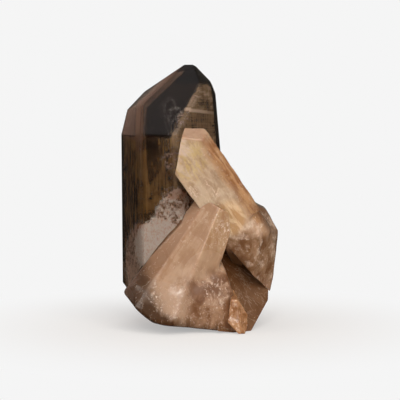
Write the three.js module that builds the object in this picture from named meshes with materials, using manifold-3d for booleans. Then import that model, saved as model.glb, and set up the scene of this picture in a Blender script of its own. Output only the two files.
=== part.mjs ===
// A Lemurian smoky quartz point with smaller milky crystals grown onto it: one natural piece, in millimetres.
// +Z is up and -Y faces the viewer. The origin lies under the middle of the piece, where it stands.
import * as THREE from "three";
import { ConvexGeometry } from "three/addons/geometries/ConvexGeometry.js";
import { mergeVertices } from "three/addons/utils/BufferGeometryUtils.js";
import Module from "manifold-3d";

const wasm = await Module();
wasm.setup();

// Every flat face is [azimuth, rise, distance]. Azimuth 0 faces the viewer and 90 the viewer's right, turning
// around the crystal's axis. Rise is how far the face looks towards the tip, and distance is from its heart.
const PYRAMID_RISE = 38.2; // of the faces that close a quartz crystal

// The tall smoky point
const POINT = {
  heart: [-11.3, 7, 76],
  axis: [0, 0, 1],
  faces: [
    [-10, 2, 20.3], // six prism faces
    [50, 4.1, 15.1],
    [110, 4.5, 17.8],
    [170, 2, 17],
    [-130, -0.3, 19.6],
    [-70, -0.3, 18.1],
    [-10, 39.8, 16.7], // the broad front face of the tip
    [50, 40.7, 23.5],
    [110, 40, 26.2],
    [170, 45, 23.2],
    [-130, PYRAMID_RISE, 26.8],
    [-75, 49.2, 19],
    [-70, 17.5, 17.6], // steep facet under the tip on the left
    [85, 24, 23.3], // and the bevel at the right shoulder
    [0, -90, 75],
  ],
};

// The milky point that leans across it
const LEANER = {
  heart: [2.1, -13.5, 63],
  axis: [-0.53, -0.22, 0.77],
  faces: [
    [-92, 0, 9.7],
    [-8, -5, 9.1],
    [52, 0, 12],
    [100, 0, 8.4],
    [170, 0, 9.5],
    [-140, 0, 9.5],
    [50, 42, 18.6],
    [118, 50, 16.2],
    [-110, 43, 10.6],
    [170, PYRAMID_RISE, 17],
    [0, -90, 24],
  ],
};

// The milky prism that rises from the lower left and ends against the leaning point
const RISER = {
  heart: [-4.1, -10.8, 32],
  axis: [0.5, -0.02, 0.865],
  faces: [
    [-56, 8, 10.2],
    [-20, 9, 11.3],
    [34, 14, 13.5],
    [94, 11, 12.6],
    [-178, 0, 17],
    [-98, 8, 10.2],
    [0, 90, 21],
    [0, -90, 30],
  ],
};

// The brown crystal that makes the right shoulder
const SHOULDER = {
  heart: [19.9, 2, 32],
  axis: [0, 0, 1],
  faces: [
    [34, 0, 14.5],
    [57, 25, 12.8],
    [-9, -10, 18],
    [88, -6, 11.1],
    [58, -4, 10.6],
    [89, 61, 16.6],
    [94, 29, 13.3],
    [91, -15, 12.7],
    [172, 0, 14],
    [132, 0, 12],
    [125, 50, 17.5],
    [180, 40, 19],
    [-115, 45, 21],
    [-90, 0, 14],
    [-92, -41, 5.4], // overhangs the dark crystal
  ],
};

// The dark crystal under it
const BLOCK = {
  heart: [15.9, 4, 14],
  axis: [0, 0, 1],
  faces: [
    [31, 25, 11.8],
    [88, -2, 11.9],
    [180, 4, 13],
    [124, 6, 10.8],
    [-90, 0, 9],
    [0, 90, 20],
    [0, -90, 14],
  ],
};

// The sparkling broken mass between the rising prism and the dark crystal
const CENTRE = {
  heart: [3.9, -8, 12],
  axis: [0, 0, 1],
  faces: [
    [93, 19, 9.4],
    [39, 24, 14.8],
    [25, 13, 14.8],
    [8, -12, 16.3],
    [82, 7, 11.9],
    [-26, 60, 14.2],
    [-42, 4, 17.5],
    [180, 0, 20],
    [-90, 0, 14],
    [0, -90, 12],
  ],
};

// The milky lobe that the rising prism swells into
const LOBE = {
  heart: [-12.1, -10, 12],
  axis: [0, 0, 1],
  faces: [
    [-12, 10, 16.8],
    [-46, -4, 15.6],
    [38, -8, 15.4],
    [-16, 50, 13.6],
    [-14, -40, 15.2],
    [-60, -30, 16.4],
    [-102, 14, 17.6],
    [-90, 42.6, 15.2],
    [0, 90, 9],
    [90, 0, 14],
    [180, 0, 18],
    [0, -90, 12],
  ],
};

// The iron-stained shard at the bottom right
const SHARD = {
  heart: [14.9, -20, 5],
  axis: [0, 0, 1],
  faces: [
    [0, 9, 4.3],
    [-90, 8, 4],
    [46, 10, 3.2],
    [90, 3, 3.8],
    [92, 27, 4.2],
    [90, 33, 4.6],
    [0, 75, 8.8],
    [-89, -44, 3.2],
    [92, -23, 4.3],
    [180, 0, 8],
    [0, -90, 5],
  ],
};

// Broken lumps of the foot: [centre, half sizes, how many fracture faces, turn of the pattern]
const LUMPS = [
  [[3.9, 10.7, 14], [18, 15, 14], 30, 2.4],
  [[-13.1, 12.7, 15], [15, 15, 16], 26, 3.2],
  [[15.9, -5, 39], [11, 10, 12], 26, 5.6], // where the leaning point comes out of the shoulder
  [[-13, -14, 12], [14, 13, 11], 40, 0.4], // and the swelling at the foot of the rising prism
];
// The lumps behind the dark crystal, which leave its front face clear
const RECESS_LUMPS = [
  [[17.9, 8, 20], [11, 11, 14], 24, 1.1],
  [[6.9, -2, 31], [13, 13, 18], 26, 0.7],
];
const FACE_JITTER = 0.12; // of a lump's radius, from one fracture face to the next

// What the whole foot is broken off to: under the left corner, under the right side, and flat where it stands
const FOOT = {
  heart: [-0.1, 4, 14],
  axis: [0, 0, 1],
  faces: [
    [-42, -80.6, 15.3],
    [-90, -48, 20],
    [90, -33, 24.7],
    [0, -90, 14],
    [0, 90, 200],
    [0, 0, 200],
    [90, 0, 200],
    [180, 0, 200],
    [-90, 0, 200],
  ],
};

const GOLDEN_ANGLE = Math.PI * (3 - Math.sqrt(5));
const INSIDE_MM = 1e-6;
const MERGE_MM = 1e-4;
const NEARLY_PARALLEL = 1e-5;

// A crystal's own directions: along its axis, towards the viewer and towards the viewer's right
function directions(axis) {
  const up = new THREE.Vector3(...axis).normalize();
  const front = new THREE.Vector3(0, -1, 0).addScaledVector(up, up.y).normalize();
  const right = new THREE.Vector3().crossVectors(up, front);
  return { up, front, right };
}

// The planes of a crystal's faces, normals outwards
function crystalPlanes({ heart, axis, faces }) {
  const { up, front, right } = directions(axis);
  const centre = new THREE.Vector3(...heart);
  return faces.map(([azimuth, rise, distance]) => {
    const a = THREE.MathUtils.degToRad(azimuth);
    const r = THREE.MathUtils.degToRad(rise);
    const normal = new THREE.Vector3()
      .addScaledVector(right, Math.sin(a) * Math.cos(r))
      .addScaledVector(front, Math.cos(a) * Math.cos(r))
      .addScaledVector(up, Math.sin(r));
    return new THREE.Plane(normal, -(distance + normal.dot(centre)));
  });
}

// The planes of a broken lump: a spiral of normals over a sphere, stretched to the lump's half sizes
function lumpPlanes([centre, half, count, turn]) {
  const middle = new THREE.Vector3(...centre);
  return Array.from({ length: count }, (_, i) => {
    const z = 1 - (2 * i + 1) / count;
    const around = i * GOLDEN_ANGLE + turn;
    const ring = Math.sqrt(1 - z * z);
    const sphere = new THREE.Vector3(ring * Math.cos(around), ring * Math.sin(around), z);
    const normal = sphere.divide(new THREE.Vector3(...half)).normalize();
    const reach = Math.hypot(normal.x * half[0], normal.y * half[1], normal.z * half[2]);
    const distance = reach * (1 + FACE_JITTER * Math.sin(7 * i + 5 * turn));
    return new THREE.Plane(normal, -(distance + normal.dot(middle)));
  });
}

// The point where three planes meet, or null if two of them are nearly parallel
function meeting(a, b, c) {
  const bc = new THREE.Vector3().crossVectors(b.normal, c.normal);
  const volume = a.normal.dot(bc);
  if (Math.abs(volume) < NEARLY_PARALLEL) return null;
  const ca = new THREE.Vector3().crossVectors(c.normal, a.normal);
  const ab = new THREE.Vector3().crossVectors(a.normal, b.normal);
  return bc.multiplyScalar(-a.constant).addScaledVector(ca, -b.constant).addScaledVector(ab, -c.constant)
    .divideScalar(volume);
}

// The closed convex body inside all the planes
function convexBody(planes) {
  const corners = [];
  for (let i = 0; i < planes.length; i++)
    for (let j = i + 1; j < planes.length; j++)
      for (let k = j + 1; k < planes.length; k++) {
        const p = meeting(planes[i], planes[j], planes[k]);
        if (p && planes.every((plane) => plane.distanceToPoint(p) < INSIDE_MM)) corners.push(p);
      }
  return new ConvexGeometry(corners);
}

// A closed three.js geometry as a solid that can be joined and cut
function solidOf(geometry) {
  geometry.deleteAttribute("normal");
  geometry.deleteAttribute("uv");
  const merged = mergeVertices(geometry, MERGE_MM);
  return new wasm.Manifold(new wasm.Mesh({
    numProp: 3,
    vertProperties: new Float32Array(merged.attributes.position.array),
    triVerts: new Uint32Array(merged.index.array),
  }));
}

// A joined solid as three.js geometry
function geometryOf(solid) {
  const mesh = solid.getMesh();
  const geometry = new THREE.BufferGeometry();
  geometry.setAttribute("position", new THREE.BufferAttribute(mesh.vertProperties, mesh.numProp));
  geometry.setIndex(new THREE.BufferAttribute(mesh.triVerts, 1));
  geometry.computeVertexNormals();
  return geometry;
}

const crystals = [POINT, LEANER, RISER, SHOULDER, BLOCK, CENTRE, LOBE, SHARD].map(crystalPlanes);
const [darkFront] = crystalPlanes(BLOCK);
const recessLumps = RECESS_LUMPS.map((lump) => [...lumpPlanes(lump), darkFront]);
const bodies = [...crystals, ...LUMPS.map(lumpPlanes), ...recessLumps];
const grown = bodies.map((planes) => solidOf(convexBody(planes)));
const standing = solidOf(convexBody(crystalPlanes(FOOT)));
const cluster = grown.reduce((whole, piece) => whole.add(piece)).intersect(standing);

const quartz = new THREE.MeshStandardMaterial({ color: 0x6b4a35, roughness: 0.2, flatShading: true });
const mesh = new THREE.Mesh(geometryOf(cluster), quartz);
mesh.name = "quartz_cluster";

const specimen = new THREE.Group();
specimen.add(mesh);
export default specimen;
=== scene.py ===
"""A Lemurian smoky quartz point with milky points on its front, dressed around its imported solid."""
import math

import bpy
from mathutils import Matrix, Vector


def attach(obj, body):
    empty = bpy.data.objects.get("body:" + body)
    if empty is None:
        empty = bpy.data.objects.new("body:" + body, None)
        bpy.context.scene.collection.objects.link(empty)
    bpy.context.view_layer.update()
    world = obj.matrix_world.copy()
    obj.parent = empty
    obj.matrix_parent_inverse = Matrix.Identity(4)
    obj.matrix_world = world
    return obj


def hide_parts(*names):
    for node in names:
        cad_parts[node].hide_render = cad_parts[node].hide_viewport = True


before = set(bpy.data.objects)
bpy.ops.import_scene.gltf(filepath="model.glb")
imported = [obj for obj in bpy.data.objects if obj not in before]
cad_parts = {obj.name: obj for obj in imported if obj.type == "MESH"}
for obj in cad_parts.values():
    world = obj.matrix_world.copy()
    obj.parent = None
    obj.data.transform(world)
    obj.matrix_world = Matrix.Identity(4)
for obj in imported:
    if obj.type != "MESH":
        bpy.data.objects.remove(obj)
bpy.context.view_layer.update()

MM = 0.001
PYRAMID_RISE = 38.2  # of the faces that close a quartz crystal

# Each crystal has its heart in mm, its axis, and its flat faces as (azimuth, rise, distance from the heart).
# Azimuth 0 faces the viewer and 90 the viewer's right, around the axis. Rise is how far the face looks
# towards the tip.
POINT = {
    "heart": (-11.3, 7, 76),
    "axis": (0, 0, 1),
    "faces": (
        (-10, 2, 20.3),
        (50, 4.1, 15.1),
        (110, 4.5, 17.8),
        (170, 2, 17),
        (-130, -0.3, 19.6),
        (-70, -0.3, 18.1),
        (-10, 39.8, 16.7),
        (50, 40.7, 23.5),
        (110, 40, 26.2),
        (170, 45, 23.2),
        (-130, PYRAMID_RISE, 26.8),
        (-75, 49.2, 19),
        (-70, 17.5, 17.6),
        (85, 24, 23.3),
    ),
}
LEANER = {
    "heart": (2.1, -13.5, 63),
    "axis": (-0.53, -0.22, 0.77),
    "faces": (
        (-92, 0, 9.7),
        (-8, -5, 9.1),
        (52, 0, 12),
        (100, 0, 8.4),
        (170, 0, 9.5),
        (-140, 0, 9.5),
        (50, 42, 18.6),
        (118, 50, 16.2),
        (-110, 43, 10.6),
        (170, PYRAMID_RISE, 17),
        (0, -90, 24),
    ),
}
RISER = {
    "heart": (-4.1, -10.8, 32),
    "axis": (0.5, -0.02, 0.865),
    "faces": (
        (-56, 8, 10.2),
        (-20, 9, 11.3),
        (34, 14, 13.5),
        (94, 11, 12.6),
        (-178, 0, 17),
        (-98, 8, 10.2),
        (0, 90, 21),
        (0, -90, 30),
    ),
}
SHOULDER = {
    "heart": (19.9, 2, 32),
    "axis": (0, 0, 1),
    "faces": (
        (34, 0, 14.5),
        (57, 25, 12.8),
        (-9, -10, 18),
        (88, -6, 11.1),
        (58, -4, 10.6),
        (89, 61, 16.6),
        (94, 29, 13.3),
        (91, -15, 12.7),
        (172, 0, 14),
        (132, 0, 12),
        (125, 50, 17.5),
        (180, 40, 19),
        (-115, 45, 21),
        (-90, 0, 14),
        (-92, -41, 5.4),
    ),
}
BLOCK = {
    "heart": (15.9, 4, 14),
    "axis": (0, 0, 1),
    "faces": (
        (31, 25, 11.8),
        (88, -2, 11.9),
        (180, 4, 13),
        (124, 6, 10.8),
        (-90, 0, 9),
        (0, 90, 20),
    ),
}
CENTRE = {
    "heart": (3.9, -8, 12),
    "axis": (0, 0, 1),
    "faces": (
        (93, 19, 9.4),
        (39, 24, 14.8),
        (25, 13, 14.8),
        (8, -12, 16.3),
        (82, 7, 11.9),
        (-26, 60, 14.2),
        (-42, 4, 17.5),
        (180, 0, 20),
        (-90, 0, 14),
    ),
}
LOBE = {
    "heart": (-12.1, -10, 12),
    "axis": (0, 0, 1),
    "faces": (
        (-12, 10, 16.8),
        (-46, -4, 15.6),
        (38, -8, 15.4),
        (-16, 50, 13.6),
        (-14, -40, 15.2),
        (-60, -30, 16.4),
        (-102, 14, 17.6),
        (-90, 42.6, 15.2),
        (0, 90, 9),
        (90, 0, 14),
        (180, 0, 18),
    ),
}
SHARD = {
    "heart": (14.9, -20, 5),
    "axis": (0, 0, 1),
    "faces": (
        (0, 9, 4.3),
        (-90, 8, 4),
        (46, 10, 3.2),
        (90, 3, 3.8),
        (92, 27, 4.2),
        (90, 33, 4.6),
        (0, 75, 8.8),
        (-89, -44, 3.2),
        (92, -23, 4.3),
        (180, 0, 8),
    ),
}
# Under the left corner, under the right side, and flat where it stands
FOOT = {
    "heart": (-0.1, 4, 14),
    "axis": (0, 0, 1),
    "faces": (
        (-42, -80.6, 15.3),
        (-90, -48, 20),
        (90, -33, 24.7),
        (0, -90, 14),
    ),
}
# Broken lumps: centre, half sizes, how many fracture faces, turn of the pattern
LUMPS = (
    ((3.9, 10.7, 14), (18, 15, 14), 30, 2.4),
    ((-13.1, 12.7, 15), (15, 15, 16), 26, 3.2),
    ((15.9, -5, 39), (11, 10, 12), 26, 5.6),
)
SWELLING = ((-13, -14, 12), (14, 13, 11), 40, 0.4)
# The lumps behind the dark crystal, which leave its front face clear
RECESS_LUMPS = (
    ((17.9, 8, 20), (11, 11, 14), 24, 1.1),
    ((6.9, -2, 31), (13, 13, 18), 26, 0.7),
)
RECESS_MM = 1.5  # how far they stay behind it
FACE_JITTER = 0.12  # of a lump's radius, from one fracture face to the next
GOLDEN_ANGLE = math.pi * (3 - math.sqrt(5))
BLANK_MM = 240  # the cube that each body is cut from
MERGE_MM = 0.01

# Faces that have a colour of their own or carry painted light, by their place in the lists above
POINT_RIGHT = 1
POINT_LEFT = 5
# The next two, the tall point's upper left facets, carry a painted pinkish reflection on the needles' surface
# under them
POINT_TIP_LEFT = 11
POINT_STEEP_FACET = 12
LEANER_TIP_FACET = 6
# The rising prism's left face carries a painted shadow
RISER_LEFT = 0
RISER_RIGHT = 2

# What the tall point swallows of the light on its way through: the colour left, and how fast, per metre
SMOKE = ((0.50, 0.33, 0.17, 1), 130.0)
QUARTZ_IOR = 1.54
STREAKS_UNDER_SKIN_MM = 2.2
MILK_UNDER_SKIN_MM = 1.0
TIP_FOOT_MM = 75.5  # where the needles end, under the tip's front face
BAND_HEIGHT_MM = 92
LINE_HEIGHT_MM = 86.4
STRIP_ASIDE_MM = 23.4

# Where the marks in the tall point lie: the middle and the half sizes of an ellipsoid, in mm
MILK_LEAN = (0.52, 0, 0.86)
MILK_HEAP = ((-19, -12, 35), (9, 22, 14.5))
MILK_CRUMBS = ((-9.5, -12, 46), (11, 26, 15))
MILK_TRAIL = ((-29, -12, 25), (17, 26, 24))
MILK_LOW_HAZE = ((-31, -10, 21), (9, 24, 13))
MILK_RIM = ((-10, -14, 54.5), (7, 12, 3.5))
MILK_LEFT_RIM = ((-23, -14, 41), (6, 12, 2.5))
SPOTS_BESIDE_LEANER = ((-11, -14, 67.5), (6, 14, 5))
SPOTS_OVER_LEANER = ((-6.5, -14, 84), (5, 14, 6))
TIP_WISPS = ((-10.5, -10, 88), (8, 16, 9))
DUSTY_COLUMN = ((-10, -14, 70), (6, 12, 16))
STREAKED_FRONT = ((-16, -14, 57), (14, 20, 22))
MURK = ((-21, -14, 48), (15, 20, 12))

# Where the marks on the milky crystals lie, in the same form
GILDED = ((-4, -30, 66), (12, 14, 16))
PINK_HAZE = ((-7, -32, 72), (8, 12, 9))
GOLDEN_ROOT = ((12, -18, 45), (9, 14, 10))
CRACKED = ((1.5, -24, 56), (10, 14, 6))
JOINT = ((8, -22, 49.5), (10, 14, 4))
SHOULDER_FLAKES = ((21, -15, 36), (12, 14, 11))
# A painted shade: the recess under the shoulder, beside the dark crystal's top, darkened to near black
RECESS_SHADE = ((14, -8, 25), (12, 12, 12))
LOBE_MIST = ((-14, -24, 12), (16, 26, 12))
CENTRE_FLAKES = ((7, -24, 17), (8, 12, 9))
RISER_FLAKES = ((9.5, -20, 39), (5, 12, 9))
DULL_CENTRE = ((4, -24, 22), (14, 14, 14))
DULL_CORNER = ((-31, -14, 11), (9, 14, 9))
DARK_VEILS = {"heart": (14, -8, 14), "axis": (-0.55, 0, 0.83)}
SHOULDER_RIM = (0.82, 0, 0.57)  # the way that the shoulder's upper right rim faces
NO_SHIFT = (0, 0, 0)

# How fine the nets of the relief are, and how far the joints between crystals are smoothed
MILK_NET_MM = 1.0
PRISM_NET_MM = 0.37
BODY_NET_MM = 0.42
SHARD_NET_MM = 0.35
FOOT_ROUNDED_MM = (14, 30)
FOOT_ROUNDS = 200
ROOT_MIDDLE_MM = (21, -13, 44)
ROOT_REACH_MM = 18
ROOT_ROUNDS = 90

# The room: its light below and above the horizon, and its soft lights as
# (direction, half width and soft edge in degrees, brightness, colour)
LOW_LIGHT = 0.03
HIGH_LIGHT = 0.17
HORIZON = (-0.05, 0.2)  # sines of the heights that the light grows between
ROOM_TINT = (1, 0.84, 0.72)
SOFT_LIGHTS = (
    ((0.25, -0.75, 0.6), 18, 18, 3.3, (1, 0.955, 0.89)),
    ((-0.9, -0.35, 0.3), 12, 16, 1.6, (1, 0.93, 0.86)),
    ((-0.1, -0.85, 0.5), 3, 3, 14, (1, 0.97, 0.93)),
    ((-0.45, 0.8, 0.4), 18, 7, 0.2, (1, 0.5, 0.36)),
    ((-0.05, -0.15, 1), 20, 18, 0.32, (1, 0.93, 0.95)),
)
WALL_SHADE = 0.913
FLOOR_SHADE = 0.9
FLOOR_LIT = 0.6
FLOOR_FADE_MM = 120
FLOOR_SIZE = 12

CAMERA_RISE = 4
CAMERA_AWAY = 0.6
PHOTO_WIDTH_PX = 400
MM_PER_PX = 0.4074
VIEW_WIDTH = PHOTO_WIDTH_PX * MM_PER_PX * MM
AIM = Vector((0, 4, 50.6)) * MM


def deselect():
    bpy.ops.object.select_all(action="DESELECT")


def select_only(piece):
    deselect()
    piece.select_set(True)
    bpy.context.view_layer.objects.active = piece


def directions(axis):
    """A crystal's own directions: along its axis, towards the viewer and towards the viewer's right."""
    up = Vector(axis).normalized()
    front = (Vector((0, -1, 0)) + up * up.y).normalized()
    return up, front, up.cross(front)


def crystal_planes(crystal):
    """Each face of a crystal as a point on it and its outward normal, in metres."""
    up, front, right = directions(crystal["axis"])
    heart = Vector(crystal["heart"])
    planes = []
    for azimuth, rise, distance in crystal["faces"]:
        a = math.radians(azimuth)
        r = math.radians(rise)
        aside = right * (math.sin(a) * math.cos(r))
        forwards = front * (math.cos(a) * math.cos(r))
        normal = aside + forwards + up * math.sin(r)
        planes.append(((heart + normal * distance) * MM, normal))
    return planes


def lump_planes(centre, half, count, turn):
    """The fracture faces of a broken lump: a spiral of normals over a sphere, stretched to its half sizes."""
    planes = []
    for i in range(count):
        z = 1 - (2 * i + 1) / count
        around = i * GOLDEN_ANGLE + turn
        ring = math.sqrt(1 - z * z)
        normal = Vector((ring * math.cos(around) / half[0], ring * math.sin(around) / half[1], z / half[2]))
        normal.normalize()
        reach = math.hypot(normal.x * half[0], normal.y * half[1], normal.z * half[2])
        distance = reach * (1 + FACE_JITTER * math.sin(7 * i + 5 * turn))
        planes.append(((Vector(centre) + normal * distance) * MM, normal))
    return planes


def cut_body(name, middle, planes):
    """A closed convex body: a cube with everything beyond each plane cut off and closed with a face."""
    deselect()
    bpy.ops.mesh.primitive_cube_add(size=BLANK_MM * MM, location=Vector(middle) * MM)
    piece = bpy.context.object
    piece.name = piece.data.name = name
    bpy.ops.object.transform_apply(location=True, rotation=False, scale=False)
    bpy.ops.object.mode_set(mode="EDIT")
    for point, normal in planes:
        bpy.ops.mesh.select_all(action="SELECT")
        bpy.ops.mesh.bisect(plane_co=point, plane_no=normal, use_fill=True, clear_outer=True)
    bpy.ops.mesh.select_all(action="SELECT")
    bpy.ops.mesh.remove_doubles(threshold=MERGE_MM * MM)
    bpy.ops.object.mode_set(mode="OBJECT")
    return piece


def cut_crystal(name, crystal):
    return cut_body(name, crystal["heart"], crystal_planes(crystal) + crystal_planes(FOOT))


def cut_lump(name, lump, more_planes=()):
    return cut_body(name, lump[0], lump_planes(*lump) + list(more_planes) + crystal_planes(FOOT))


def finish_with(piece, kind, **settings):
    """Adds a modifier with its settings and applies it."""
    select_only(piece)
    modifier = piece.modifiers.new(kind.title(), kind)
    for key, value in settings.items():
        setattr(modifier, key, value)
    bpy.ops.object.modifier_apply(modifier=modifier.name)


def join_solids(piece, others):
    """Joins closed bodies into the first one and removes the others."""
    for other in others:
        finish_with(piece, "BOOLEAN", operation="UNION", object=other, solver="EXACT")
        bpy.data.objects.remove(other)
    return piece


def ease_edges(piece, width_mm):
    """Rounds the edges of a body between its flat faces a little."""
    finish_with(piece, "BEVEL", width=width_mm * MM, segments=2, limit_method="ANGLE",
                angle_limit=math.radians(12))
    select_only(piece)
    bpy.ops.object.shade_smooth_by_angle(angle=math.radians(14))


def relief(kind, size_mm):
    """A solid noise for moving a surface in and out."""
    texture = bpy.data.textures.new(kind.lower(), kind)
    texture.noise_scale = size_mm * MM
    return texture


def fine_net(piece, grain_mm):
    """Gives a body an even net of small faces."""
    finish_with(piece, "REMESH", mode="VOXEL", voxel_size=grain_mm * MM)


def move_surface(piece, moves):
    """Moves a finely meshed surface in and out by each (texture, depth)."""
    for texture, depth_mm in moves:
        finish_with(piece, "DISPLACE", texture=texture, strength=depth_mm * MM, mid_level=0.5,
                    texture_coords="LOCAL", direction="NORMAL")
    select_only(piece)


def break_surface(piece, grain_mm, moves):
    """Gives a body a relief that keeps its edges sharp."""
    fine_net(piece, grain_mm)
    move_surface(piece, moves)
    bpy.ops.object.shade_smooth_by_angle(angle=math.radians(28))


def swell(piece, moves):
    """Gives a finely meshed body a soft relief."""
    move_surface(piece, moves)
    bpy.ops.object.shade_smooth()


def melt(piece, grain_mm):
    """Gives joined bodies a fine net and softens their edges and joints."""
    fine_net(piece, grain_mm)
    finish_with(piece, "SMOOTH", factor=0.5, iterations=1)


def smooth_where(piece, share_at, rounds):
    """Smooths a piece where the share at a corner is above 0, and fully where it is 1 or more."""
    chosen = piece.vertex_groups.new(name="chosen")
    for corner in piece.data.vertices:
        share = share_at(corner.co)
        if share > 0:
            chosen.add([corner.index], min(share, 1), "REPLACE")
    finish_with(piece, "SMOOTH", factor=0.5, iterations=rounds, vertex_group="chosen")
    piece.vertex_groups.clear()


def round_foot(piece, low_mm, high_mm, rounds):
    """Smooths the lower part of a piece: fully below one height, and not at all above the other."""
    smooth_where(piece, lambda spot: (high_mm - spot.z / MM) / (high_mm - low_mm), rounds)


def soften_near(piece, middle_mm, reach_mm, rounds):
    """Smooths a piece around one place: fully in the inner half of the reach, and not at all beyond it."""
    middle = Vector(middle_mm)
    smooth_where(piece, lambda spot: 2 - 2 * (spot / MM - middle).length / reach_mm, rounds)


def level_foot(piece):
    """Cuts off what the relief pushed under the surface that the specimen stands on."""
    select_only(piece)
    bpy.ops.object.mode_set(mode="EDIT")
    bpy.ops.mesh.select_all(action="SELECT")
    bpy.ops.mesh.bisect(plane_co=(0, 0, 0), plane_no=(0, 0, -1), use_fill=True, clear_outer=True)
    bpy.ops.object.mode_set(mode="OBJECT")


def place(piece, material):
    """Hands a finished piece over: gives it its material, attaches it to its body and hides the solid that it
    stands for.
    """
    piece.data.materials.clear()
    piece.data.materials.append(material)
    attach(piece, "root")
    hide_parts("quartz_cluster")


def add_node(tree, kind, settings, inputs):
    """Adds a node with these settings. An input is a socket to link or a plain value."""
    made = tree.nodes.new(kind)
    for key, value in settings.items():
        setattr(made, key, value)
    for key, value in inputs.items():
        if isinstance(value, bpy.types.NodeSocket):
            tree.links.new(value, made.inputs[key])
        else:
            made.inputs[key].default_value = value
    return made


class Value:
    """A number that varies over a surface. Arithmetic on it adds Math nodes."""

    def __init__(self, paint, socket):
        self.paint = paint
        self.socket = socket

    def math(self, operation, first, second=0.0, clamp=False):
        return self.paint.node("ShaderNodeMath", {"operation": operation, "use_clamp": clamp},
                               {0: first, 1: second})

    def __add__(self, other):
        return self.math("ADD", self, other)

    __radd__ = __add__

    def __sub__(self, other):
        return self.math("SUBTRACT", self, other)

    def __rsub__(self, other):
        return self.math("SUBTRACT", other, self)

    def __mul__(self, other):
        return self.math("MULTIPLY", self, other)

    __rmul__ = __mul__

    def abs(self):
        return self.math("ABSOLUTE", self)

    def clamp(self):
        return self.math("ADD", self, 0.0, clamp=True)

    def rise(self, low, high):
        """0 below low, 1 above high and smooth between them."""
        return self.paint.node("ShaderNodeMapRange", {"interpolation_type": "SMOOTHSTEP"},
                               {0: self, 1: low, 2: high, 3: 0.0, 4: 1.0})


class Paint:
    """A material under construction."""

    def __init__(self, name):
        self.material = bpy.data.materials.new(name)
        self.material.use_nodes = True
        self.tree = self.material.node_tree
        self.tree.nodes.clear()
        where = self.node("ShaderNodeTexCoord", output="Object")
        self.mm = self.node("ShaderNodeVectorMath", {"operation": "SCALE"}, {0: where, "Scale": 1 / MM})

    def node(self, kind, settings=None, inputs=None, output=0):
        given = {key: value.socket if isinstance(value, Value) else value
                 for key, value in (inputs or {}).items()}
        made = add_node(self.tree, kind, settings or {}, given)
        return Value(self, made.outputs[output])

    def along(self, direction, origin=(0, 0, 0)):
        """How many mm a point of the surface lies from the origin along a direction."""
        reach = self.node("ShaderNodeVectorMath", {"operation": "DOT_PRODUCT"},
                          {0: self.mm, 1: tuple(Vector(direction).normalized())}, output="Value")
        return reach - Vector(direction).normalized().dot(Vector(origin))

    def stretched(self, sizes, shift=(0, 0, 0)):
        """The place on the surface, measured in these sizes in mm."""
        moved = self.node("ShaderNodeVectorMath", {"operation": "ADD"}, {0: self.mm, 1: shift})
        return self.node("ShaderNodeVectorMath", {"operation": "DIVIDE"}, {0: moved, 1: sizes})

    def local(self, crystal, sizes, shift=(0, 0, 0)):
        """The place in a crystal's own directions (right, front, up), measured in these sizes in mm."""
        up, front, right = directions(crystal["axis"])
        parts = [self.along(direction, crystal["heart"]) * (1 / size) + moved
                 for direction, size, moved in zip((right, front, up), sizes, shift)]
        return self.node("ShaderNodeCombineXYZ", None, {0: parts[0], 1: parts[1], 2: parts[2]})

    def noise(self, vector, detail=4.0, roughness=0.55, distortion=0.0):
        return self.node("ShaderNodeTexNoise", {"normalize": True},
                         {"Vector": vector, "Scale": 1.0, "Detail": detail, "Roughness": roughness,
                          "Distortion": distortion})

    def cloud(self, sizes, shift, detail, roughness, distortion=0.0):
        """A noise whose blotches have these sizes in mm."""
        return self.noise(self.stretched(sizes, shift), detail, roughness, distortion)

    def on_face(self, crystal, index, soft_mm):
        """1 on one flat face of a crystal, 0 from so many mm under it on."""
        point, normal = crystal_planes(crystal)[index]
        return self.along(normal, point / MM).rise(-soft_mm, -soft_mm * 0.2)

    def near(self, centre, sizes, axis=(0, 0, 1)):
        """1 in the middle of an ellipsoid with these half sizes in mm, 0 from its surface on."""
        scaled = self.local({"heart": centre, "axis": axis}, sizes)
        length = self.node("ShaderNodeVectorMath", {"operation": "LENGTH"}, {0: scaled}, output="Value")
        return 1 - length.rise(0.0, 1.0)

    def veins(self, noise, width):
        """Thin wandering lines, where the noise passes its middle."""
        return 1 - (noise - 0.5).abs().rise(0, width)

    def mix(self, factor, first, second):
        """From the first colour to the second as the factor goes from 0 to 1."""
        return self.node("ShaderNodeMix", {"data_type": "RGBA"}, {0: factor, 6: first, 7: second}, output=2)

    def bump(self, height, distance_mm, strength=1.0):
        return self.node("ShaderNodeBump", None,
                         {"Height": height, "Distance": distance_mm * MM, "Strength": strength})

    def surface(self, inputs):
        return self.node("ShaderNodeBsdfPrincipled", {"distribution": "MULTI_GGX"}, inputs)

    def blend(self, factor, first, second):
        return self.node("ShaderNodeMixShader", None, {0: factor, 1: first, 2: second})

    def done(self, surface, absorption=None):
        out = self.tree.nodes.new("ShaderNodeOutputMaterial")
        self.tree.links.new(surface.socket, out.inputs["Surface"])
        if absorption:
            colour, density = absorption
            body = self.node("ShaderNodeVolumeAbsorption", None, {"Color": colour, "Density": density})
            self.tree.links.new(body.socket, out.inputs["Volume"])
        return self.material


def smoky_quartz():
    """The tall point's skin: clear and deep brown, with faint level growth lines."""
    paint = Paint("smoky_quartz")
    ledges = paint.cloud((30, 30, 0.55), NO_SHIFT, 3, 0.6)
    streaks = paint.cloud((1.4, 1.4, 16), (3, 5, 0), 5, 0.6)
    return paint.done(paint.surface({
        "Base Color": paint.mix(streaks.rise(0.45, 0.7), (0.97, 0.94, 0.91, 1), (1.0, 0.95, 0.87, 1)),
        "Roughness": 0.03,
        "IOR": QUARTZ_IOR,
        "Transmission Weight": 1.0,
        "Normal": paint.bump(ledges, 0.05, 0.25),
    }), SMOKE)


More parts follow.
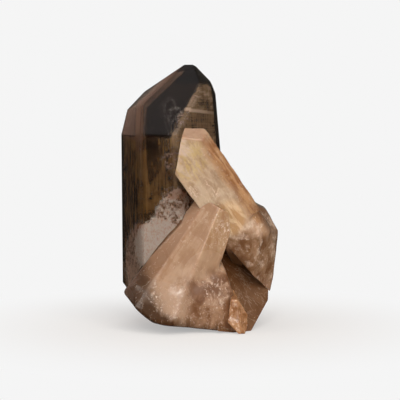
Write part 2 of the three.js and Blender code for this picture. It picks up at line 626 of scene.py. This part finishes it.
def gold_streaks():
    """Brown and gold needles that stand in the tall point, level veils under its right face, and a painted
    pinkish reflection under its upper left facets.
    """
    paint = Paint("gold_streaks")
    inner = inset(POINT, STREAKS_UNDER_SKIN_MM)
    height = paint.along((0, 0, 1))
    aside = paint.along((1, 0, 0))
    needles = paint.cloud((0.9, 0.9, 12), (3, 5, 0), 5, 0.62)
    haze = paint.cloud((8, 8, 11), (2, 0, 5), 5, 0.6)
    levels = paint.cloud((22, 22, 0.6), (0, 2, 1), 4, 0.6)
    patches = paint.cloud((7, 7, 4), (0, 4, 1), 4, 0.55)
    left = paint.on_face(inner, POINT_LEFT, 1.5)
    right = paint.on_face(inner, POINT_RIGHT, 2) * height.rise(50, 62)
    # A painted reflection: pinkish brown on the needles' surface under the tip's upper left facets
    rosy_reflection = (paint.on_face(inner, POINT_STEEP_FACET, 0.8) + paint.on_face(inner, POINT_TIP_LEFT, 0.8)).clamp()
    front = paint.near(*STREAKED_FRONT).rise(0, 0.6)
    below_tip = 1 - height.rise(TIP_FOOT_MM, TIP_FOOT_MM + 1.5)

    dense = haze.rise(0.38, 0.62) * 0.75 + left * 0.5 + front * 0.15
    standing = needles.rise(0.40, 0.66) * dense * below_tip
    high_left = left * height.rise(57, 68) * 0.35
    between = below_tip * (haze.rise(0.3, 0.6) * 0.22 + front * 0.38 + high_left)
    murk = paint.near(*MURK).rise(0, 0.5) * patches.rise(0.36, 0.6) * (1 - left * 0.5)
    strip_heights = height.rise(66, 76) * (1 - height.rise(90, 91))
    strip = (1 - (aside + STRIP_ASIDE_MM).abs().rise(0.5, 1.3)) * strip_heights

    band = (1 - (height - BAND_HEIGHT_MM).abs().rise(0, 7)) * patches.rise(0.4, 0.6)
    sloping = height + aside * 0.12 - LINE_HEIGHT_MM
    line = (1 - sloping.abs().rise(0.3, 0.9)) * right * (1 - aside.rise(-2, 5) * 0.8)
    woven = needles.rise(0.42, 0.6) * 0.15 + levels.rise(0.40, 0.60) * 0.14
    veils = (0.25 + woven + patches.rise(0.35, 0.65) * 0.3 + band * 0.3) * right

    gold = paint.mix(haze.rise(0.38, 0.62), (0.25, 0.145, 0.07, 1), (0.42, 0.28, 0.13, 1))
    olive = paint.mix((left * 0.5 + murk * 0.6).clamp(), gold, (0.48, 0.29, 0.115, 1))
    veiled = paint.mix(right, olive, (0.60, 0.44, 0.28, 1))
    tinted = paint.mix((rosy_reflection + strip).clamp(), veiled, (0.37, 0.23, 0.155, 1))
    needle_share = standing + between + murk * 0.35
    veil_share = veils + line * levels.rise(0.3, 0.5)
    return paint.done(paint.surface({
        "Base Color": paint.mix((line + band * right * 0.5).clamp(), tinted, (1, 0.88, 0.76, 1)),
        "Roughness": 0.6,
        "Specular IOR Level": 0.0,
        "Alpha": (needle_share + veil_share + rosy_reflection * 0.5 + strip * 0.4).clamp(),
    }))


def point_milk():
    """The white cloud low in the tall point: a dense heap, crumbs, a trail, and spots and wisps above."""
    paint = Paint("point_milk")
    puffs = paint.cloud((7, 7, 9), (1, 0, 2), 8, 0.66, 0.4)
    crumbled = paint.cloud((2.4, 2.4, 3.0), (4, 0, 1), 6, 0.62, 0.6)
    leaning = {"heart": (0, 0, 0), "axis": MILK_LEAN}
    combed = paint.noise(paint.local(leaning, (1.1, 1.5, 5), (0, 0, 3)), 6, 0.62)
    grain = paint.cloud((1.2, 1.2, 1.5), (5, 0, 0), 6, 0.66)
    dust = paint.cloud((0.6, 0.6, 0.8), (1, 0, 0), 3, 0.6)
    specks = paint.cloud((0.6, 0.6, 0.9), (0, 5, 0), 2, 0.5).rise(0.58, 0.64)
    rough = crumbled * 0.5 + grain * 0.5
    shift = (crumbled - 0.5) * 0.5

    heap = paint.near(*MILK_HEAP, MILK_LEAN)
    core = (heap + (rough - 0.5) * 0.9).rise(0.08, 0.26) * heap.rise(0, 0.06)
    crumbs = (paint.near(*MILK_CRUMBS, MILK_LEAN) + shift * 0.8).rise(0.05, 0.35)
    trail = (paint.near(*MILK_TRAIL, MILK_LEAN) + shift * 0.4).rise(0.02, 0.2)
    rim = paint.near(*MILK_RIM) + paint.near(*MILK_LEFT_RIM)
    spots = paint.near(*SPOTS_BESIDE_LEANER) + paint.near(*SPOTS_OVER_LEANER) + rim
    wisps = paint.near(*TIP_WISPS)
    column = paint.near(*DUSTY_COLUMN)

    milk = core * (0.94 + grain * 0.06)
    speckled = (crumbled * 0.6 + grain * 0.4).rise(0.40, 0.56)
    broken = crumbs * (speckled * 0.6 + 0.35)
    streaks = trail * (0.3 + combed.rise(0.42, 0.56) * 0.2 + rough.rise(0.44, 0.56) * 0.45)
    low_haze = paint.near(*MILK_LOW_HAZE).rise(0, 0.5) * (grain.rise(0.38, 0.58) * 0.5 + 0.35)
    pale_spots = spots.rise(0, 0.5) * rough.rise(0.48, 0.58) * 0.75
    thin = wisps * 0.3 * paint.veins(puffs, 0.04) + column * grain.rise(0.5, 0.62) * 0.24
    dusted = crumbs + trail + rim.rise(0, 0.3) + column * 0.5 + wisps * 0.4
    # Glitter: tiny bright fractures in the dusty milk, with painted glints on them
    glitter = specks * dusted * puffs.rise(0.40, 0.52)

    brown = (trail * 0.6 + crumbs * (1 - speckled) + spots.rise(0, 0.4) * 0.6).clamp() * (1 - core)
    powdery = (grain * 0.4 + dust * 0.6).rise(0.36, 0.54)
    white = paint.mix(powdery, (0.88, 0.70, 0.62, 1), (1.0, 0.95, 0.92, 1))
    return paint.done(paint.surface({
        "Base Color": paint.mix(brown, white, (0.78, 0.47, 0.32, 1)),
        "Roughness": 0.5,
        "Specular IOR Level": 0.0,
        "Alpha": (milk + broken + streaks + thin + low_haze + pale_spots + glitter * 0.9).clamp(),
    }))


def cloudy_surface(paint, colour, ripple, dull=0.0):
    """Glossy cloudy quartz, with light spreading under its skin, and duller where it is broken."""
    return paint.done(paint.surface({
        "Base Color": colour,
        "Roughness": dull * 0.35 + 0.2,
        "IOR": QUARTZ_IOR,
        "Subsurface Weight": 0.35,
        "Subsurface Radius": (0.003, 0.0017, 0.001),
        "Subsurface Scale": 1.0,
        "Coat Weight": dull * -0.3 + 0.35,
        "Coat Roughness": 0.1,
        "Normal": paint.bump(ripple, 0.35, 0.6),
    }))


def sparkles(paint, sizes, shift, where):
    """Small bright fractures with painted glints on them, in clusters where the last value is high."""
    return paint.cloud(sizes, shift, 3, 0.6, 1.0).rise(0.60, 0.70) * where


def leaning_colour(paint, streaks, mottle):
    """The leaning point: cream, with yellow veins, a pink haze and a tan facet at its tip."""
    shades = (mottle * 0.65 + streaks * 0.35).rise(0.38, 0.60)
    cream = paint.mix(shades, (0.37, 0.235, 0.14, 1), (0.57, 0.415, 0.285, 1))
    gilt = paint.near(*GILDED).rise(0, 0.5) * paint.veins(streaks, 0.07)
    yellow = paint.mix(gilt * 0.6, cream, (0.58, 0.41, 0.15, 1))
    haze = paint.near(*PINK_HAZE).rise(0, 0.6) * mottle.rise(0.4, 0.6)
    pale = paint.mix(haze * 0.6, yellow, (0.68, 0.52, 0.43, 1))
    return paint.mix(paint.on_face(LEANER, LEANER_TIP_FACET, 1) * 0.7, pale, (0.40, 0.24, 0.155, 1))


def shoulder_colour(paint, soft, fine, height, across):
    """The shoulder is tan and darker along its lower edge, and the back of the foot is brown."""
    clouds = (soft * 0.75 + fine * 0.25).rise(0.38, 0.64)
    drifts = (soft * 0.85 + fine * 0.15).rise(0.24, 0.68)
    tan = paint.mix(drifts, (0.36, 0.205, 0.115, 1), (0.56, 0.375, 0.26, 1))
    dark = paint.mix(clouds, (0.14, 0.06, 0.024, 1), (0.30, 0.17, 0.095, 1))
    brown = paint.mix(clouds, (0.16, 0.07, 0.035, 1), (0.34, 0.20, 0.13, 1))
    low = 1 - (height + across * 0.5 + (soft - 0.5) * 8).rise(34, 44)
    foot = 1 - (height + (soft - 0.5) * 14).rise(13, 24)
    return paint.mix(foot, paint.mix(low, tan, dark), brown)


def milky_quartz():
    """Cream on the leaning point, orange at its right edge, tan on the shoulder and brown in the foot, with a
    painted shade in the recess under the shoulder.
    """
    paint = Paint("milky_quartz")
    up, _, right = directions(LEANER["axis"])
    reach = paint.along(up, LEANER["heart"])
    across = paint.along(right, LEANER["heart"])
    height = paint.along((0, 0, 1))
    aside = paint.along((1, 0, 0))
    soft = paint.cloud((7, 7, 8), (2, 2, 0), 5, 0.55, 0.3)
    fine = paint.cloud((1.2, 1.2, 1.6), (0, 7, 3), 5, 0.6)
    puffs = paint.cloud((5, 5, 4), (6, 0, 0), 3, 0.5)
    streaks = paint.noise(paint.local(LEANER, (2.4, 2.4, 12), (1, 2, 0)), 7, 0.62, 0.8)
    mottle = paint.noise(paint.local(LEANER, (5, 5, 8), (3, 1, 4)), 6, 0.6, 0.5)
    leaning = (reach + (soft - 0.5) * 16).rise(-30, -13)

    shoulder = shoulder_colour(paint, soft, fine, height, across)
    body = paint.mix(leaning, shoulder, leaning_colour(paint, streaks, mottle))
    golden = paint.mix(streaks.rise(0.44, 0.56), (0.46, 0.26, 0.11, 1), (0.68, 0.47, 0.28, 1))
    fibrous = paint.mix(paint.near(*GOLDEN_ROOT).rise(0, 0.5) * 0.75, body, golden)
    edge = (across + (streaks - 0.5) * 9).rise(2.8, 6.5) * (1 - (reach + (soft - 0.5) * 10).rise(8, 18))
    rusty = paint.mix(streaks.rise(0.42, 0.58), (0.26, 0.095, 0.028, 1), (0.45, 0.235, 0.10, 1))
    stained = paint.mix(edge * 0.85 * reach.rise(-38, -26), fibrous, rusty)
    outer = (paint.along(SHOULDER_RIM).rise(42.5, 46.5) + aside.rise(28.5, 31.5)).clamp() * (1 - leaning)
    shaded = paint.mix(outer * (0.5 + fine * 0.5), stained, (0.10, 0.052, 0.028, 1))

    cracked = paint.near(*CRACKED).rise(0, 0.5) * paint.veins(mottle, 0.035)
    joint = paint.near(*JOINT).rise(0, 0.5)
    where = (soft.rise(0.46, 0.60) * (1 - leaning * 0.5) + cracked + joint).clamp()
    flaked = paint.near(*SHOULDER_FLAKES).rise(0, 0.6) * puffs.rise(0.46, 0.56)
    # The glint is painted highlights on small fractures and cracks, together with their real pale colour and
    # pale wisps
    small = sparkles(paint, (0.9, 0.9, 1.3), (0, 0, 3), where)
    large = sparkles(paint, (1.8, 1.8, 2.2), (1, 0, 5), flaked)
    wisps = paint.veins(soft, 0.02) * fine.rise(0.40, 0.6) * (leaning * 0.2 + 0.15)
    glint = small + wisps + cracked * fine.rise(0.42, 0.55) + large * 0.7
    patches = puffs.rise(0.52, 0.66) * (fine.rise(0.40, 0.60) * 0.6 + 0.4) * (1 - leaning) * 0.7

    bright = paint.mix(((glint + patches) * 0.55).clamp(), shaded, (0.88, 0.69, 0.54, 1))
    # Painted shade: near black in the recess under the shoulder, like the dark crystal beside it
    colour = paint.mix(paint.near(*RECESS_SHADE).rise(0, 0.4), bright, (0.085, 0.037, 0.014, 1))
    along_point = streaks * (leaning * 0.7 + 0.2) + mottle * (leaning * 0.5 + 0.3)
    return cloudy_surface(paint, colour, along_point + fine * 0.15 + glint * 0.25)


def face_colour(paint, soft, height, above):
    """The rising prism's faces: a shadow on the left one, tan in front and gold on the right one."""
    left = paint.on_face(RISER, RISER_LEFT, 0.4)
    right = paint.on_face(RISER, RISER_RIGHT, 0.4) * above
    streaks = paint.noise(paint.local(RISER, (1.3, 1.3, 24), (3, 0, 0)), 5, 0.55)
    fibres = paint.noise(paint.local(RISER, (4, 4, 14), (1, 0, 2)), 4, 0.5, 1.0)
    shades = (streaks * 0.4 + soft * 0.6).rise(0.38, 0.62)
    tan = paint.mix(shades, (0.33, 0.19, 0.11, 1), (0.44, 0.285, 0.185, 1))
    shadow = paint.mix(height.rise(24, 44), (0.27, 0.145, 0.082, 1), (0.38, 0.225, 0.14, 1))
    golden = paint.mix(fibres.rise(0.3, 0.7), (0.35, 0.19, 0.095, 1), (0.46, 0.29, 0.165, 1))
    front = paint.mix(left * 0.9, tan, shadow)
    colour = paint.mix(right * (0.35 + height.rise(26, 42) * 0.55), front, golden)
    return colour, right, streaks


def tan_quartz():
    """The rising prism: each face its own tan, with a painted shadow on the left one. Its swollen foot is
    cloudy, with a brown rim and sparkles that carry painted glints.
    """
    paint = Paint("tan_quartz")
    height = paint.along((0, 0, 1))
    aside = paint.along((1, 0, 0))
    soft = paint.cloud((6, 6, 7), (4, 0, 1), 5, 0.55, 0.3)
    fine = paint.cloud((1.1, 1.1, 1.4), (0, 1, 3), 5, 0.6)
    uneven = (soft - 0.5) * 10
    above = (height + uneven).rise(15, 24)
    faces, right, streaks = face_colour(paint, soft, height, above)

    centre = (aside + uneven).rise(-8, -3) * (1 - (height + uneven).rise(20, 26))
    shades = (soft * 0.85 + fine * 0.15).rise(0.40, 0.64)
    broken = paint.mix(shades, (0.165, 0.07, 0.03, 1), (0.36, 0.205, 0.12, 1))
    drifting = (soft - 0.5) * 1.5 * (1 - height.rise(22, 36))
    mist = (paint.near(*LOBE_MIST) * 1.3 + drifting).clamp()
    mixed = paint.mix(centre, faces, broken)
    milky = paint.mix(mist * (0.62 + fine.rise(0.4, 0.6) * 0.15), mixed, (0.43, 0.29, 0.205, 1))
    rim = 1 - (height + aside * 0.28 + (soft - 0.5) * 7 + 2).rise(2, 9)
    corner = 1 - (aside + (soft - 0.5) * 6 + height * 0.4).rise(-15, -7)
    inwards = (aside + (soft - 0.5) * 14).rise(-31, -16)
    umber = paint.mix(inwards, (0.045, 0.02, 0.01, 1), (0.065, 0.028, 0.011, 1))
    brown = paint.mix((rim * 0.85 + corner * 0.9).clamp(), milky, umber)

    lobe = (1 - above) * (1 - centre) * (aside + height * 0.4).rise(-24, -20)
    border = (1 - (rim + corner - mist * 0.5 - 0.1).abs().rise(0, 0.35)) * lobe
    flaked = (paint.near(*CENTRE_FLAKES) + paint.near(*RISER_FLAKES)).rise(0, 0.5)
    crust = (mist * 0.3 + centre * soft.rise(0.46, 0.58) + right * height.rise(28, 40) * 0.8 + border).clamp()
    # Sparkles on the crust and border: bright fractures with painted glints on them
    small = sparkles(paint, (0.9, 0.9, 1.2), (3, 0, 3), crust) + border * fine.rise(0.5, 0.66) * 0.5
    large = sparkles(paint, (1.7, 1.7, 2.1), (1, 0, 5), flaked) * 0.8 + flaked * fine.rise(0.52, 0.62) * 0.4
    glint = small + large
    wisps = paint.veins(soft, 0.015) * fine.rise(0.42, 0.6) * 0.4
    colour = paint.mix(((glint + wisps) * 0.7).clamp(), brown, (0.85, 0.68, 0.56, 1))
    dull = (paint.near(*DULL_CENTRE) + paint.near(*DULL_CORNER)).rise(0, 0.4)
    return cloudy_surface(paint, colour, fine * 0.4 + streaks * 0.2 + glint * 0.3, dull)


def dark_quartz():
    """The small smoky crystal: deep brown, darkest at its upper left, with veils and dust lower down."""
    paint = Paint("dark_quartz")
    soft = paint.cloud((4, 4, 4), (4, 3, 1), 5, 0.62)
    fine = paint.cloud((0.8, 0.8, 0.8), (0, 1, 3), 4, 0.7)
    veils = paint.noise(paint.local(DARK_VEILS, (5, 5, 12), (0, 2, 0)), 4, 0.55, 0.8)
    down = paint.along((0.45, 0, -1), (11, 0, 28)).rise(0, 18)
    dust = (down * 0.55 + (soft - 0.5) * 0.9 + (veils - 0.5) * 1.6).clamp() * (0.7 + fine * 0.6)
    brown = paint.mix(dust.clamp(), (0.095, 0.037, 0.012, 1), (0.19, 0.097, 0.048, 1))
    # Bright specks with painted glints on them, and pale veins
    specks = sparkles(paint, (0.9, 0.9, 0.9), (0, 2, 3), soft.rise(0.48, 0.6))
    glint = specks + paint.veins(veils, 0.015) * 0.4
    colour = paint.mix((glint * 0.5).clamp(), brown, (0.6, 0.43, 0.32, 1))
    return cloudy_surface(paint, colour, fine * 0.2)


def stained_quartz():
    """The iron-stained shard: rusty, with pale flecks that are painted glints."""
    paint = Paint("stained_quartz")
    fine = paint.cloud((0.6, 0.6, 4), NO_SHIFT, 5, 0.6)
    soft = paint.cloud((3, 3, 3), NO_SHIFT, 4, 0.6)
    # Painted glints as pale flecks
    glint_flecks = paint.cloud((0.9, 0.9, 1.4), (2, 0, 0), 3, 0.6).rise(0.58, 0.68) * 0.5
    shades = (fine * 0.3 + soft * 0.7).rise(0.38, 0.62)
    rusty = paint.mix(shades, (0.23, 0.095, 0.035, 1), (0.43, 0.23, 0.115, 1))
    colour = paint.mix(glint_flecks, rusty, (0.80, 0.58, 0.42, 1))
    return cloudy_surface(paint, colour, fine * 0.6 + soft * 0.8)


def inset(crystal, depth_mm):
    """The same crystal with every face moved in."""
    faces = tuple((azimuth, rise, distance - depth_mm) for azimuth, rise, distance in crystal["faces"])
    return {"heart": crystal["heart"], "axis": crystal["axis"], "faces": faces}


def cut_inside(name, crystal, depth_mm):
    """A crystal's inside, from so many mm under its skin on."""
    inner_faces = crystal_planes(inset(crystal, depth_mm))
    return cut_body(name, crystal["heart"], inner_faces + crystal_planes(inset(FOOT, depth_mm)))


def make_tall_point():
    """The clear skin of the tall point, and under it the surfaces that carry its needles and its cloud."""
    skin = cut_crystal("tall_point", POINT)
    ease_edges(skin, 0.35)
    place(skin, smoky_quartz())
    streaks = cut_inside("gold_streaks", POINT, STREAKS_UNDER_SKIN_MM)
    ease_edges(streaks, 1.0)
    place(streaks, gold_streaks())
    milk = cut_inside("point_milk", POINT, MILK_UNDER_SKIN_MM)
    break_surface(milk, MILK_NET_MM, [(relief("CLOUDS", 7), 1.2)])
    place(milk, point_milk())


def make_rising_prism():
    """The rising prism with its swollen foot and the broken mass beside it."""
    parts = [cut_crystal("part", crystal) for crystal in (LOBE, CENTRE)]
    prism = join_solids(cut_crystal("rising_prism", RISER), parts + [cut_lump("part", SWELLING)])
    melt(prism, PRISM_NET_MM)
    round_foot(prism, *FOOT_ROUNDED_MM, FOOT_ROUNDS)
    swell(prism, [(relief("CLOUDS", 9), 0.35)])
    level_foot(prism)
    place(prism, tan_quartz())


def make_milky_body():
    """The leaning point, the shoulder and the back of the foot, grown into one."""
    dark_front = crystal_planes(inset(BLOCK, RECESS_MM))[0]
    parts = [cut_crystal("part", SHOULDER)]
    parts += [cut_lump("part", lump) for lump in LUMPS]
    parts += [cut_lump("part", lump, [dark_front]) for lump in RECESS_LUMPS]
    body = join_solids(cut_crystal("milky_body", LEANER), parts)
    melt(body, BODY_NET_MM)
    soften_near(body, ROOT_MIDDLE_MM, ROOT_REACH_MM, ROOT_ROUNDS)
    swell(body, [(relief("CLOUDS", 8), 0.6), (relief("VORONOI", 4), 0.12)])
    level_foot(body)
    place(body, milky_quartz())


def make_dark_crystal():
    """The small smoky crystal under the shoulder."""
    piece = cut_crystal("dark_crystal", BLOCK)
    ease_edges(piece, 0.3)
    place(piece, dark_quartz())


def make_shard():
    """The iron-stained shard at the bottom right."""
    piece = cut_crystal("stained_shard", SHARD)
    break_surface(piece, SHARD_NET_MM, [(relief("CLOUDS", 3), 0.6)])
    level_foot(piece)
    place(piece, stained_quartz())


def pale_floor():
    """The floor's pale face, which turns as bright as the wall away from the specimen."""
    paint = Paint("pale_floor")
    lit = paint.surface({
        "Base Color": (FLOOR_SHADE, FLOOR_SHADE, FLOOR_SHADE, 1),
        "Roughness": 1.0,
        "Specular IOR Level": 0.0,
    })
    glow = paint.node("ShaderNodeEmission", None, {"Color": (1, 1, 1, 1), "Strength": WALL_SHADE})
    away = 1 - paint.near((0, 0, 0), (FLOOR_FADE_MM, FLOOR_FADE_MM, FLOOR_FADE_MM)) * FLOOR_LIT
    return paint.done(paint.blend(away, lit, glow))


def make_floor():
    """A pale floor, which the crystals don't mirror."""
    deselect()
    bpy.ops.mesh.primitive_plane_add(size=FLOOR_SIZE, location=(0, 0, 0))
    floor = bpy.context.object
    floor.name = floor.data.name = "floor"
    floor.visible_glossy = False
    floor.visible_transmission = False
    floor.data.materials.append(pale_floor())


def make_surround():
    """A dim room with soft light from a few sides, in front of a white wall that only the camera sees."""
    world = bpy.data.worlds.new("surround")
    world.use_nodes = True
    tree = world.node_tree
    tree.nodes.clear()

    def node(kind, settings, inputs, output=0):
        return add_node(tree, kind, settings, inputs).outputs[output]

    def towards(direction):
        """How far the view in the room points along a direction, from -1 to 1."""
        return node("ShaderNodeVectorMath", {"operation": "DOT_PRODUCT"}, {0: looking, 1: direction}, "Value")

    def ramp(reach, low, high, dark, bright):
        return node("ShaderNodeMapRange", {"interpolation_type": "SMOOTHSTEP"},
                    {0: reach, 1: low, 2: high, 3: dark, 4: bright})

    def tinted(colour, strength):
        return node("ShaderNodeVectorMath", {"operation": "SCALE"}, {0: colour, "Scale": strength})

    looking = node("ShaderNodeTexCoord", {}, {}, "Generated")
    light = tinted(ROOM_TINT, ramp(towards((0, 0, 1)), *HORIZON, LOW_LIGHT, HIGH_LIGHT))
    for direction, wide, soft, strength, colour in SOFT_LIGHTS:
        facing = towards(tuple(Vector(direction).normalized()))
        outside = math.cos(math.radians(wide + soft))
        inside = math.cos(math.radians(wide))
        spread = tinted(colour, ramp(facing, outside, inside, 0.0, strength))
        light = node("ShaderNodeVectorMath", {"operation": "ADD"}, {0: light, 1: spread})
    room = node("ShaderNodeBackground", {}, {"Color": light, "Strength": 1.0})
    wall = node("ShaderNodeBackground", {}, {"Color": (1, 1, 1, 1), "Strength": WALL_SHADE})
    straight = node("ShaderNodeLightPath", {}, {}, "Is Camera Ray")
    seen = node("ShaderNodeMixShader", {}, {0: straight, 1: room, 2: wall})
    add_node(tree, "ShaderNodeOutputWorld", {}, {"Surface": seen})
    bpy.context.scene.world = world
    bpy.context.scene.view_settings.view_transform = "Standard"


def make_camera():
    """The photograph's view: level with the middle of the specimen, looking very slightly down."""
    elevation = math.radians(CAMERA_RISE)
    camera = bpy.data.cameras.new("camera")
    camera.sensor_width = 36
    camera.lens = camera.sensor_width * CAMERA_AWAY / VIEW_WIDTH
    seen = bpy.data.objects.new("camera", camera)
    seen.location = AIM + Vector((0, -math.cos(elevation), math.sin(elevation))) * CAMERA_AWAY
    seen.rotation_euler = (math.radians(90) - elevation, 0, 0)
    bpy.context.collection.objects.link(seen)
    bpy.context.scene.camera = seen


make_camera()
make_surround()
make_floor()
make_tall_point()
make_milky_body()
make_rising_prism()
make_dark_crystal()
make_shard()
